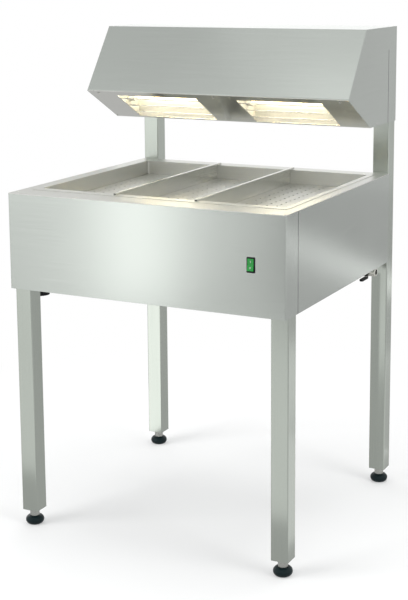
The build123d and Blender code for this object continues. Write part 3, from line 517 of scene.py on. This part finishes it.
def foot_stem(place, s):
    """A round collar under a threaded stem.

    The thread's radius falls from the crest by its depth times a triangle wave of
    height over pitch less angle over a full turn.
    """
    low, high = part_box(f"foot_stem_{place}")
    centre = ((low.x + high.x) / 2, (low.y + high.y) / 2, 0.0)
    collar = (high.x - low.x) / 2
    collar_r = [0, collar - STEM_END, collar, collar, collar - COLLAR_EDGE, STEM_RADIUS]
    collar_z = [low.z, low.z, low.z + STEM_END, COLLAR_TOP - COLLAR_EDGE, COLLAR_TOP,
                COLLAR_TOP]
    rows = int((high.z - COLLAR_TOP) / s.thread_pitch * THREAD_ROWS)
    thread_top = high.z - STEM_END
    z = np.linspace(COLLAR_TOP, thread_top, rows)[:, None]
    angle = np.linspace(0, 1, STEM_COLUMNS, endpoint=False)[None, :]
    wave = np.abs(2 * ((z / s.thread_pitch - angle) % 1) - 1)
    ends = np.clip(np.minimum(z - COLLAR_TOP, thread_top - z) / s.thread_pitch, 0, 1)
    thread_r = STEM_RADIUS - s.thread_depth * wave * ends
    radius = np.vstack([level_rows(collar_r, STEM_COLUMNS), thread_r,
                        level_rows([STEM_RADIUS - STEM_END, 0], STEM_COLUMNS)])
    height = np.vstack([level_rows(collar_z, STEM_COLUMNS), np.repeat(z, STEM_COLUMNS, 1),
                        level_rows([high.z, high.z], STEM_COLUMNS)])
    points = turned(radius, height, centre, (0, 0, 1))
    return finished(f"threaded_stem_{place}", points, grid_faces(len(radius), STEM_COLUMNS))


def wound_wires(s):
    """Both lamps' wires: a small circle swept along a helix about each lamp's axis.

    The helix is centre + (cos a, sin a) * coil radius across the axis, moving along X by
    the lamp's length as a goes through all its turns.
    """
    vertices, faces, count = [], [], 0
    for low, high in solids_of("lamp_filaments"):
        steps = s.coil_turns * WIRE_STEPS
        turn = np.linspace(0, 2 * np.pi * s.coil_turns, steps)[:, None]
        radius = (high[2] - low[2]) / 2 - WIRE_RADIUS
        middle = (low + high) / 2
        x = np.linspace(low[0] + WIRE_RADIUS, high[0] - WIRE_RADIUS, steps)[:, None]
        around = np.linspace(0, 2 * np.pi, WIRE_SIDES, endpoint=False)[None, :]
        reach = radius + WIRE_RADIUS * np.cos(around)
        points = np.stack([x + WIRE_RADIUS * np.sin(around), middle[1] + reach * np.cos(turn),
                           middle[2] + reach * np.sin(turn)], axis=-1)
        ends = points[[0, -1]].mean(1, keepdims=True).repeat(WIRE_SIDES, axis=1)
        points = np.concatenate([ends[:1], points, ends[1:]])
        vertices.append(points.reshape(-1, 3))
        faces.append(grid_faces(len(points), WIRE_SIDES, count))
        count += len(points) * WIRE_SIDES
    return finished("wound_wires", np.vstack(vertices), np.vstack(faces), 60.0)


def recess_depth(across, along, shape, size):
    """Depth of a driver's recess, 0 outside to 1 inside, over the face of a head.

    A cross is the nearer arm's distance past its half width; a hex is the largest
    distance along the three directions square to its flats.
    """
    if shape == "cross":
        arm = size * CROSS_ARM
        upright = np.maximum(np.abs(across) - arm, np.abs(along) - size)
        level = np.maximum(np.abs(along) - arm, np.abs(across) - size)
        outside = np.minimum(upright, level)
    else:
        turns = np.radians([0, 60, 120])
        flats = [np.abs(across * np.cos(t) + along * np.sin(t)) for t in turns]
        outside = np.maximum.reduce(flats) - size * HEX_FLAT
    return np.clip(-outside / (size * RECESS_SLOPE), 0, 1)


def recessed_screws(name, node, outward_of, head_radius, head_height, shape):
    """Every screw of a packed set: a shank, and a domed head with a driver's recess.

    The head's height at radius r is the head height times the square root of one less r over
    the head's radius to the dome's power, less the recess where the driver goes.
    """
    vertices, faces, count = [], [], 0
    reach = SCREW_REACH[node]
    tip = head_height - reach
    shank_r = [0, head_radius * SHANK_TIP_SHARE, head_radius * SHANK_SHARE,
               head_radius * SHANK_SHARE, head_radius]
    shank_z = [tip, tip, tip + SHANK_CHAMFER, 0, 0]
    r = np.linspace(head_radius, 0, HEAD_ROWS)
    dome = head_height * np.sqrt(np.maximum(1 - (r / head_radius) ** DOME_POWER, 0))
    angle = np.linspace(0, 2 * np.pi, SCREW_COLUMNS, endpoint=False)[None, :]
    cut = recess_depth(r[:, None] * np.cos(angle), r[:, None] * np.sin(angle), shape,
                       head_radius * RECESS_SHARE)
    top_z = dome[:, None] - head_height * RECESS_DEPTH_SHARE * cut
    radius = np.vstack([level_rows(shank_r, SCREW_COLUMNS), level_rows(r, SCREW_COLUMNS)])
    height = np.vstack([level_rows(shank_z, SCREW_COLUMNS), top_z])
    for low, high in solids_of(node):
        middle = (low + high) / 2
        outward = np.array(outward_of(middle), float)
        foot = middle + outward * (reach / 2 - head_height)
        vertices.append(turned(radius, height, foot, outward))
        faces.append(grid_faces(len(radius), SCREW_COLUMNS, count))
        count += radius.size
    return finished(name, np.vstack(vertices), np.vstack(faces), 30.0)


def rocker_marks(s):
    """The upright bar and the ring on the rocker's two faces, raised a little.

    At rest the upper face stands upright and the lower one leans out by twice the tilt. Both
    marks are closed bands: a rounded section carried round a slot-shaped or round path.
    """
    pivot = np.array(joint_places["rocker_tip"])
    lean = s.rocker_tilt
    out = np.array([0, -math.cos(lean), math.sin(lean)])
    up = np.array([0, math.sin(lean), math.cos(lean)])
    valley = ROCKER_FACE - ROCKER_HALF * math.tan(lean)
    made = []
    for name, sign, slot_like in (("rocker_bar_mark", 1, True), ("rocker_ring_mark", -1, False)):
        middle = pivot + out * (valley + ROCKER_FACE) / 2 + up * sign * ROCKER_HALF / 2
        along = up * sign * ROCKER_HALF + out * (ROCKER_FACE - valley)
        along /= np.linalg.norm(along)
        facing = np.cross(np.array([1.0, 0, 0]), along)
        facing *= -np.sign(facing[1])
        side = np.cross(along, facing)
        angle = np.linspace(0, 2 * np.pi, MARK_STEPS, endpoint=False)
        if slot_like:
            path_a = s.mark_size * BAR_WIDTH_SHARE * np.cos(angle)
            path_b = s.mark_size * (BAR_WIDTH_SHARE * np.sin(angle) + BAR_LENGTH_SHARE
                                    * np.tanh(BAR_SQUARENESS * np.sin(angle)))
        else:
            path_a = s.mark_size * RING_SHARE * np.cos(angle)
            path_b = s.mark_size * RING_SHARE * np.sin(angle)
        ring = np.linspace(0, 2 * np.pi, MARK_SIDES, endpoint=False)
        spoke_a, spoke_b = np.cos(angle)[:, None], np.sin(angle)[:, None]
        band = s.mark_size * BAND_SHARE
        a = path_a[:, None] + band * np.cos(ring) * spoke_a
        b = path_b[:, None] + band * np.cos(ring) * spoke_b
        h = MARK_RISE * np.sin(ring)[None, :] * np.ones_like(a)
        points = middle + side * a[..., None] + along * b[..., None] + facing * h[..., None]
        faces = grid_faces(MARK_STEPS, MARK_SIDES, 0, True)
        made.append(finished(name, points.reshape(-1, 3), faces))
    return made


# ------------------------------------------------------------------ finishes
PANELS_ALONG_X = ("rear_panel", "base_panel", "hood_cover", "hood_back")
PANELS_ALONG_Y = ("side_panel_left", "side_panel_right")
HOOD_SIDES = ("hood_side_left", "hood_side_right")
LEGS = ("front_leg_left", "front_leg_right", "rear_post_left", "rear_post_right")
RAILS_ALONG_Y = ("side_rail_left", "side_rail_right")
TURNED = ("leg_inserts", "guard_rods", "cabinet_bolts", "element_clamps",
          "thermostat_spindle", "drain_pipe", "tap_ball")
BLACK = ("overheat_cutout", "cable_gland", "gland_nut", "thermostat", "thermostat_knob",
         "switch_body", "tap_handle")


class WARMER_OT_steel(bpy.types.Operator):
    """Brushes the cabinet, hood, legs and rails"""

    bl_idname = "warmer.steel"
    bl_label = "Steel"

    def execute(self, context):
        s = context.scene.warmer_steel
        # Painted shade in the gap of the front corners' seam and in the hood sides' slit.
        corner = ((side_low.y, SEAM_HALF, side_high.z),)
        slit = ((SLIT_PLACE, SLIT_HALF, SLIT_TOP),)
        paint(brushed("panel_steel_across", s.panel_colour, "X", s), *PANELS_ALONG_X)
        paint(brushed("front_steel", s.panel_colour, "X", s, shaded_seams=corner), "front_panel")
        paint(brushed("panel_steel_deep", s.panel_colour, "Y", s, shaded_seams=corner),
              *PANELS_ALONG_Y)
        paint(brushed("hood_side_steel", s.panel_colour, "Y", s, shaded_seams=slit), *HOOD_SIDES)
        paint(brushed("leg_steel", s.leg_colour, "Z", s), *LEGS)
        paint(brushed("rail_steel", s.leg_colour, "Y", s), *RAILS_ALONG_Y)
        paint(brushed("front_rail_steel", s.leg_colour, "X", s), "front_rail")
        return {"FINISHED"}


class WARMER_OT_basin(bpy.types.Operator):
    """Finishes the basin, its drain plate, dividers and heater"""

    bl_idname = "warmer.basin"
    bl_label = "Basin"

    def execute(self, context):
        s = context.scene.warmer_steel
        paint(brushed("basin_steel", s.basin_colour, "X", s, (0.32, 0.42), 0.0),
              "basin", "drain_plate", "top_rim")
        paint(brushed("underside_steel", s.basin_colour, "X", s, (0.14, 0.20)),
              "hood_underside")
        paint(brushed("divider_steel", s.basin_colour, "Y", s, (0.2, 0.32)),
              "divider_left", "divider_right")
        paint(plain_metal("spreader_aluminium", (0.75, 0.76, 0.77), (0.35, 0.5)),
              "heat_spreader")
        paint(moulded("element_sheath", (0.10, 0.10, 0.095), (0.5, 0.7), 500.0),
              "basin_element")
        return {"FINISHED"}


class WARMER_OT_fittings(bpy.types.Operator):
    """Finishes feet, fasteners, switch, knob, gland and tap"""

    bl_idname = "warmer.fittings"
    bl_label = "Fittings"

    def execute(self, context):
        paint(plain_metal("turned_steel", (0.62, 0.62, 0.60)), *TURNED)
        paint(plain_metal("tap_nickel", (0.56, 0.56, 0.51)), "drain_tap")
        paint(moulded("black_plastic", (0.008, 0.010, 0.011), gloss=0.22), *BLACK)
        paint(moulded("green_rocker", (0.012, 0.27, 0.04), (0.18, 0.28), 300.0, 0.00002),
              "switch_rocker")
        paint(moulded("ceramic", (0.82, 0.80, 0.74), (0.5, 0.65), 700.0),
              "lamp_sockets", "lamp_terminals", "mains_terminals")
        return {"FINISHED"}


class WARMER_OT_feet(bpy.types.Operator):
    """Moulds the four pads and cuts the threads of their stems"""

    bl_idname = "warmer.feet"
    bl_label = "Feet"

    def execute(self, context):
        s = context.scene.warmer_fittings
        rubber = moulded("pad_rubber", (0.004, 0.013, 0.015), (0.3, 0.42), 900.0, gloss=0.2)
        steel = plain_metal("stem_steel", (0.50, 0.51, 0.48))
        for place in FOOT_PLACES:
            pad = foot_pad(place)
            pad.data.materials.append(rubber)
            seat(pad, f"foot_{place}", "foot_rubber", f"foot_pad_{place}")
            stem = foot_stem(place, s)
            stem.data.materials.append(steel)
            seat(stem, f"foot_{place}", "bolt_steel", f"foot_stem_{place}")
        return {"FINISHED"}


class WARMER_OT_screws(bpy.types.Operator):
    """Cuts the driver's recesses in the screws and bolts that show"""

    bl_idname = "warmer.screws"
    bl_label = "Screws"

    def execute(self, context):
        steel = plain_metal("screw_steel", (0.58, 0.58, 0.56), (0.18, 0.3))
        sets = (
            ("cross_underside_screws", "underside_screws", lambda p: DOWN_SLOPE,
             0.004, 0.0016, "cross"),
            ("cross_side_screws", "side_screws", lambda p: (np.sign(p[0]), 0, 0),
             0.004, 0.0016, "cross"),
            ("cross_base_screws", "base_screws", lambda p: (0, 0, -1), 0.004, 0.0016, "cross"),
            ("hex_hood_bolts", "hood_bolts", lambda p: (0, 1, 0), 0.006, 0.003, "hex"),
        )
        for name, node, outward_of, radius, height, shape in sets:
            piece = recessed_screws(name, node, outward_of, radius, height, shape)
            piece.data.materials.append(steel)
            seat(piece, "frame", "bolt_steel", node)
        return {"FINISHED"}


class WARMER_OT_marks(bpy.types.Operator):
    """Raises the plain bar and ring on the switch's rocker"""

    bl_idname = "warmer.marks"
    bl_label = "Switch marks"

    def execute(self, context):
        white = moulded("mark_white", (0.50, 0.52, 0.50), (0.4, 0.5), 900.0, 0.00001)
        for mark in rocker_marks(context.scene.warmer_fittings):
            mark.data.materials.append(white)
            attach(mark, "rocker")
        return {"FINISHED"}


class WARMER_OT_lamps(bpy.types.Operator):
    """Finishes the reflectors, the quartz tubes and the wires in them"""

    bl_idname = "warmer.lamps"
    bl_label = "Lamps"

    def execute(self, context):
        s = context.scene.warmer_lamps
        paint(plain_metal("reflector_aluminium", (0.93, 0.92, 0.87), (0.85, 0.95)),
              "reflector_left", "reflector_right")
        paint(clear_glass("quartz"), "lamp_tube_left", "lamp_tube_right")
        wires = wound_wires(s)
        wires.data.materials.append(glowing("lit_wire", s.wire_colour, s.wire_strength))
        seat(wires, "frame", "filament", "lamp_filaments")
        return {"FINISHED"}


# ------------------------------------------------------------------ stage
# Each card that only metal sees: name, middle, half its one side, half its other side, glow.
REFLECTED_CARDS = (
    ("strip_card", (-1.207, -2.45, 0.5), (0.168, 0, 0), (0, 0, 0.5), 2.45),
    ("soft_card_left", (-1.70, -2.46, 0.24), (0.33, 0, 0), (0, 0, 0.24), 1.10),
    ("post_card", (-1.95, -2.47, 0.86), (0.30, 0, 0), (0, 0, 0.36), 1.65),
    ("dark_card_front", (0.16, -2.45, 0.5), (0.716, 0, 0), (0, 0, 0.5), 0.48),
    ("grey_card_rear", (1.55, 2.30, 0.25), (1.0, 0, 0), (0, 0, 0.25), 0.60),
    ("grey_card_high", (1.55, 2.30, 1.05), (1.0, 0, 0), (0, 0, 0.55), 0.72),
    ("low_band_card", (1.31, 2.29, 0.182), (0.40, 0, 0.13), (0, 0, 0.038), 2.05),
    ("band_dark_card", (1.31, 2.285, 0.268), (0.40, 0, 0.13), (0, 0, 0.045), 0.22),
    ("top_card", (-0.90, 2.60, 1.54), (1.3, 0, 0), (0, 0, 0.26), 1.4),
    ("rim_card", (-1.15, 0.90, 1.04), (0.31, 0, 0), (0, 0, 0.16), 0.48),
    ("hood_dark_card", (-1.50, -0.16, 2.80), (0.68, 0, 0), (0, 0.60, 0), 0.80),
    ("hood_pale_card", (-0.07, -0.96, 2.80), (0.50, 0, 0), (0, 0.35, 0), 1.30),
    ("floor_card", (0.0, 0.0, 0.003), (3.0, 0, 0), (0, 3.0, 0), 0.62),
    ("floor_card_front", (-0.70, -1.70, 0.006), (1.3, 0, 0), (0, 1.04, 0), 1.00),
    ("floor_card_right", (1.00, 0.65, 0.006), (0.55, 0, 0), (0, 0.90, 0), 0.97),
    ("floor_card_far", (0.60, 1.05, 0.009), (0.19, 0, 0), (0, 0.48, 0), 0.66),
    ("leg_card_dark", (0.05, 0.30, 0.30), (0.30, 0, 0), (0, 0, 0.30), 0.60),
    ("leg_card_pale", (-0.67, -0.20, 0.30), (0.26, 0, 0), (0, 0, 0.30), 1.75),
    ("leg_card_low", (-0.60, 0.03, 0.009), (0.20, 0, 0), (0, 0.23, 0), 1.75),
)


def link(thing):
    """Puts an object in the scene."""
    bpy.context.scene.collection.objects.link(thing)
    return thing


def soft_lamp(name, place, aim, size, power):
    """A rectangular area lamp at a place, turned to face its aim."""
    data = bpy.data.lights.new(name, "AREA")
    data.shape = "RECTANGLE"
    data.size, data.size_y = size
    data.energy = power
    lamp = link(bpy.data.objects.new(name, data))
    lamp.location = place
    way = np.subtract(aim, place)
    across = math.hypot(way[0], way[1])
    lamp.rotation_euler = (math.atan2(across, -way[2]), 0, math.atan2(-way[0], way[1]))
    lamp.visible_glossy = False


def bay_lamps(side, s):
    """The light of one bay: a lamp up to the reflector and a broad weak one down."""
    low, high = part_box(f"lamp_tube_{side}")
    middle = (low + high) / 2
    for way, flip, share, width in BAY_LAMPS:
        data = bpy.data.lights.new(f"bay_lamp_{side}_{way}", "AREA")
        data.shape = "RECTANGLE"
        data.size, data.size_y = (high.x - low.x) * BAY_LENGTH_SHARE, width
        data.energy = s.bay_power * share
        data.color = LAMP_COLOUR
        lamp = link(bpy.data.objects.new(data.name, data))
        lamp.location = middle
        lamp.rotation_euler = (flip - SLOPE_ANGLE, 0, 0)
        lamp.visible_camera = False


def reflected_card(name, centre, half_one, half_other, glow):
    """A flat glowing card that only polished metal sees."""
    middle, one, other = (np.array(v, float) for v in (centre, half_one, half_other))
    corners = [middle - one - other, middle + one - other,
               middle + one + other, middle - one + other]
    data = bpy.data.meshes.new(name)
    data.from_pydata([tuple(c) for c in corners], [], [(0, 1, 2, 3)])
    card = link(bpy.data.objects.new(name, data))
    material = bpy.data.materials.new(name)
    material.use_nodes = True
    tree = material.node_tree
    tree.nodes.clear()
    output = tree.nodes.new("ShaderNodeOutputMaterial")
    light = tree.nodes.new("ShaderNodeEmission")
    light.inputs["Color"].default_value = (glow, glow, glow, 1)
    light.inputs["Strength"].default_value = 1.0
    tree.links.new(light.outputs[0], output.inputs["Surface"])
    data.materials.append(material)
    card.visible_camera = False
    card.visible_diffuse = False
    card.visible_transmission = False
    card.visible_shadow = False


def lens_rays(tree):
    """One for camera, glossy and transmission rays, nought for the rest."""
    path = tree.nodes.new("ShaderNodeLightPath")
    seen = path.outputs["Is Camera Ray"]
    for ray in ("Is Glossy Ray", "Is Transmission Ray"):
        either = tree.nodes.new("ShaderNodeMath")
        either.operation = "MAXIMUM"
        tree.links.new(seen, either.inputs[0])
        tree.links.new(path.outputs[ray], either.inputs[1])
        seen = either.outputs[0]
    return seen


def white_mix(tree, share, shading, output, kind):
    """Mixes plain white of a shader kind over the shading by a share."""
    white = tree.nodes.new(kind)
    white.inputs["Color"].default_value = (1, 1, 1, 1)
    white.inputs["Strength"].default_value = 1.0
    mix = tree.nodes.new("ShaderNodeMixShader")
    tree.links.new(share, mix.inputs["Fac"])
    tree.links.new(shading, mix.inputs[1])
    tree.links.new(white.outputs[0], mix.inputs[2])
    tree.links.new(mix.outputs[0], output)


class WARMER_OT_stage(bpy.types.Operator):
    """Sets up the floor, the white surround, the lamps and the camera"""

    bl_idname = "warmer.stage"
    bl_label = "Stage"

    def execute(self, context):
        s = context.scene.warmer_stage
        self.make_floor(s)
        self.make_surround()
        for lamp in SOFT_LAMPS:
            soft_lamp(*lamp)
        for card in REFLECTED_CARDS:
            reflected_card(*card)
        for side in ("left", "right"):
            bay_lamps(side, s)
        self.make_camera(context.scene, s)
        context.scene.view_settings.view_transform = "Standard"
        return {"FINISHED"}

    def make_floor(self, s):
        """A wide square of pale floor at height nought."""
        half = FLOOR_HALF
        data = bpy.data.meshes.new("floor")
        corners = [(-half, -half, 0), (half, -half, 0), (half, half, 0), (-half, half, 0)]
        data.from_pydata(corners, [], [(0, 1, 2, 3)])
        floor = link(bpy.data.objects.new("floor", data))
        material, tree, shader = new_material("floor")
        cloud = stretched_noise(tree, (3.0, 3.0, 3.0))
        pale = tuple(s.floor_colour)
        dark = tuple(c * 0.985 for c in pale)
        tree.links.new(tint(tree, cloud, dark, pale), shader.inputs["Base Color"])
        shader.inputs["Roughness"].default_value = 0.7
        output = next(n for n in tree.nodes if n.type == "OUTPUT_MATERIAL")
        place = tree.nodes.new("ShaderNodeTexCoord")
        reach = tree.nodes.new("ShaderNodeVectorMath")
        reach.operation = "LENGTH"
        tree.links.new(place.outputs["Object"], reach.inputs[0])
        fade = tree.nodes.new("ShaderNodeMapRange")
        fade.inputs["From Min"].default_value = FADE_START
        fade.inputs["From Max"].default_value = FADE_END
        fade.inputs["To Min"].default_value = NEAR_SHARE
        tree.links.new(reach.outputs["Value"], fade.inputs["Value"])
        share = tree.nodes.new("ShaderNodeMath")
        share.operation = "MULTIPLY"
        tree.links.new(lens_rays(tree), share.inputs[0])
        tree.links.new(fade.outputs["Result"], share.inputs[1])
        below = tree.nodes.new("ShaderNodeNewGeometry")
        clear = tree.nodes.new("ShaderNodeBsdfTransparent")
        sided = tree.nodes.new("ShaderNodeMixShader")
        tree.links.new(below.outputs["Backfacing"], sided.inputs["Fac"])
        tree.links.new(clear.outputs[0], sided.inputs[2])
        tree.links.new(sided.outputs[0], output.inputs["Surface"])
        white_mix(tree, share.outputs[0], shader.outputs[0], sided.inputs[1],
                  "ShaderNodeEmission")
        data.materials.append(material)

    def make_surround(self):
        """A grey world for light that looks white to the lens and in metal."""
        world = bpy.data.worlds.new("surround")
        bpy.context.scene.world = world
        world.use_nodes = True
        tree = world.node_tree
        tree.nodes.clear()
        output = tree.nodes.new("ShaderNodeOutputWorld")
        dull = tree.nodes.new("ShaderNodeBackground")
        dull.inputs["Color"].default_value = (0.96, 0.98, 1.0, 1)
        dull.inputs["Strength"].default_value = 0.55
        white_mix(tree, lens_rays(tree), dull.outputs[0], output.inputs["Surface"],
                  "ShaderNodeBackground")

    def make_camera(self, scene, s):
        """A camera that looks down a little, its frame shifted down by a sixth."""
        data = bpy.data.cameras.new("camera")
        data.sensor_width = SENSOR_WIDTH
        data.lens = s.focal_pixels / IMAGE_HEIGHT * SENSOR_WIDTH
        data.shift_y = (s.principal_row - IMAGE_HEIGHT / 2) / IMAGE_HEIGHT
        data.clip_end = 60
        camera = link(bpy.data.objects.new("camera", data))
        turn = Matrix.Rotation(s.camera_turn, 4, "Z")
        tilt = Matrix.Rotation(math.pi / 2 - s.camera_tilt, 4, "X")
        roll = Matrix.Rotation(s.camera_roll, 4, "Z")
        camera.matrix_world = Matrix.Translation(s.camera_place) @ turn @ tilt @ roll
        scene.camera = camera


# ------------------------------------------------------------------ add-on
class WARMER_PT_sidebar(bpy.types.Panel):
    """Lists the steps that dress the chip warmer"""

    bl_idname = "WARMER_PT_sidebar"
    bl_label = "Chip Warmer"
    bl_space_type = "VIEW_3D"
    bl_region_type = "UI"
    bl_category = "Chip Warmer"

    def draw(self, context):
        for step in STEPS:
            self.layout.operator(step.bl_idname)


STEPS = (WARMER_OT_steel, WARMER_OT_basin, WARMER_OT_fittings, WARMER_OT_feet,
         WARMER_OT_screws, WARMER_OT_marks, WARMER_OT_lamps, WARMER_OT_stage)
SETTINGS = (("warmer_steel", SteelSettings), ("warmer_lamps", LampSettings),
            ("warmer_fittings", FittingSettings), ("warmer_stage", StageSettings))


def register():
    """Adds the settings, steps and sidebar to Blender."""
    for name, group in SETTINGS:
        bpy.utils.register_class(group)
        setattr(bpy.types.Scene, name, PointerProperty(type=group))
    for step in STEPS:
        bpy.utils.register_class(step)
    bpy.utils.register_class(WARMER_PT_sidebar)


def unregister():
    """Takes them out again."""
    bpy.utils.unregister_class(WARMER_PT_sidebar)
    for step in reversed(STEPS):
        bpy.utils.unregister_class(step)
    for name, group in reversed(SETTINGS):
        delattr(bpy.types.Scene, name)
        bpy.utils.unregister_class(group)


def main():
    """Registers the add-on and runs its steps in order."""
    register()
    bpy.ops.warmer.steel()
    bpy.ops.warmer.basin()
    bpy.ops.warmer.fittings()
    bpy.ops.warmer.feet()
    bpy.ops.warmer.screws()
    bpy.ops.warmer.marks()
    bpy.ops.warmer.lamps()
    bpy.ops.warmer.stage()


if __name__ == "__main__":
    main()
